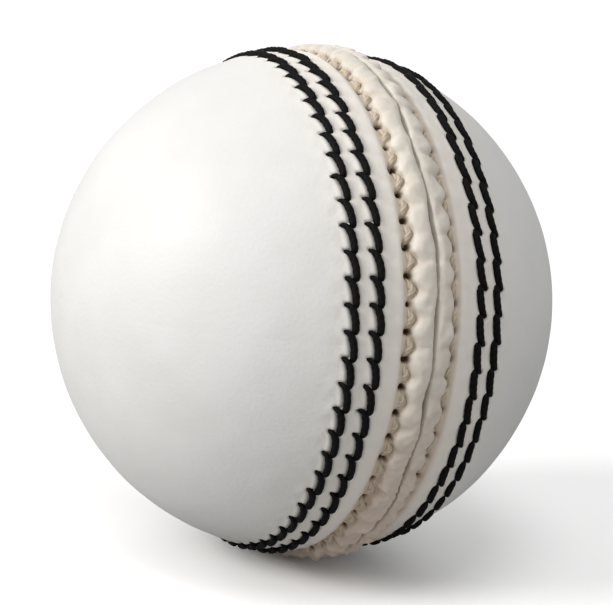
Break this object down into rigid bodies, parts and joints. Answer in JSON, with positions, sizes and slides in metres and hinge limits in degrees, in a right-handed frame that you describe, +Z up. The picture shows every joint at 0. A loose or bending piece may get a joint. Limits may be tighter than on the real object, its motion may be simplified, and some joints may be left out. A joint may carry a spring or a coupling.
{
  "type": "cricket ball",
  "caption": "White leather cricket ball with a raised hand-stitched seam over a cork and yarn core.",
  "frame": {"origin": "centre of the ball", "axes": "+Z up; the main seam lies in the YZ plane, with the cups' poles on -X (left) and +X (right)"},
  "size_m": [0.072, 0.0738, 0.0738],
  "materials": {
    "white_leather": "glossy lacquered",
    "lining_leather": "matte",
    "black_thread": "waxed",
    "cream_thread": "waxed",
    "cork": "matte",
    "cork_rubber": "matte",
    "worsted_yarn": "matte"
  },
  "bodies": {
    "root": {"closing_thread": "cream_thread", "cork_layer_1": "cork", "cork_layer_2": "cork", "cork_layer_3": "cork", "cork_layer_4": "cork", "cork_layer_5": "cork", "cork_rubber_nucleus": "cork_rubber", "cover_left_lower": "white_leather", "cover_left_upper": "white_leather", "cover_right_back": "white_leather", "cover_right_front": "white_leather", "left_inner_row_thread": "black_thread", "left_outer_row_thread": "black_thread", "left_quarter_seam_thread": "cream_thread", "lining_left": "lining_leather", "lining_right": "lining_leather", "right_inner_row_thread": "black_thread", "right_outer_row_thread": "black_thread", "right_quarter_seam_thread": "cream_thread", "yarn_winding_1": "worsted_yarn", "yarn_winding_2": "worsted_yarn", "yarn_winding_3": "worsted_yarn", "yarn_winding_4": "worsted_yarn", "yarn_winding_5": "worsted_yarn"}
  },
  "joints": []
}
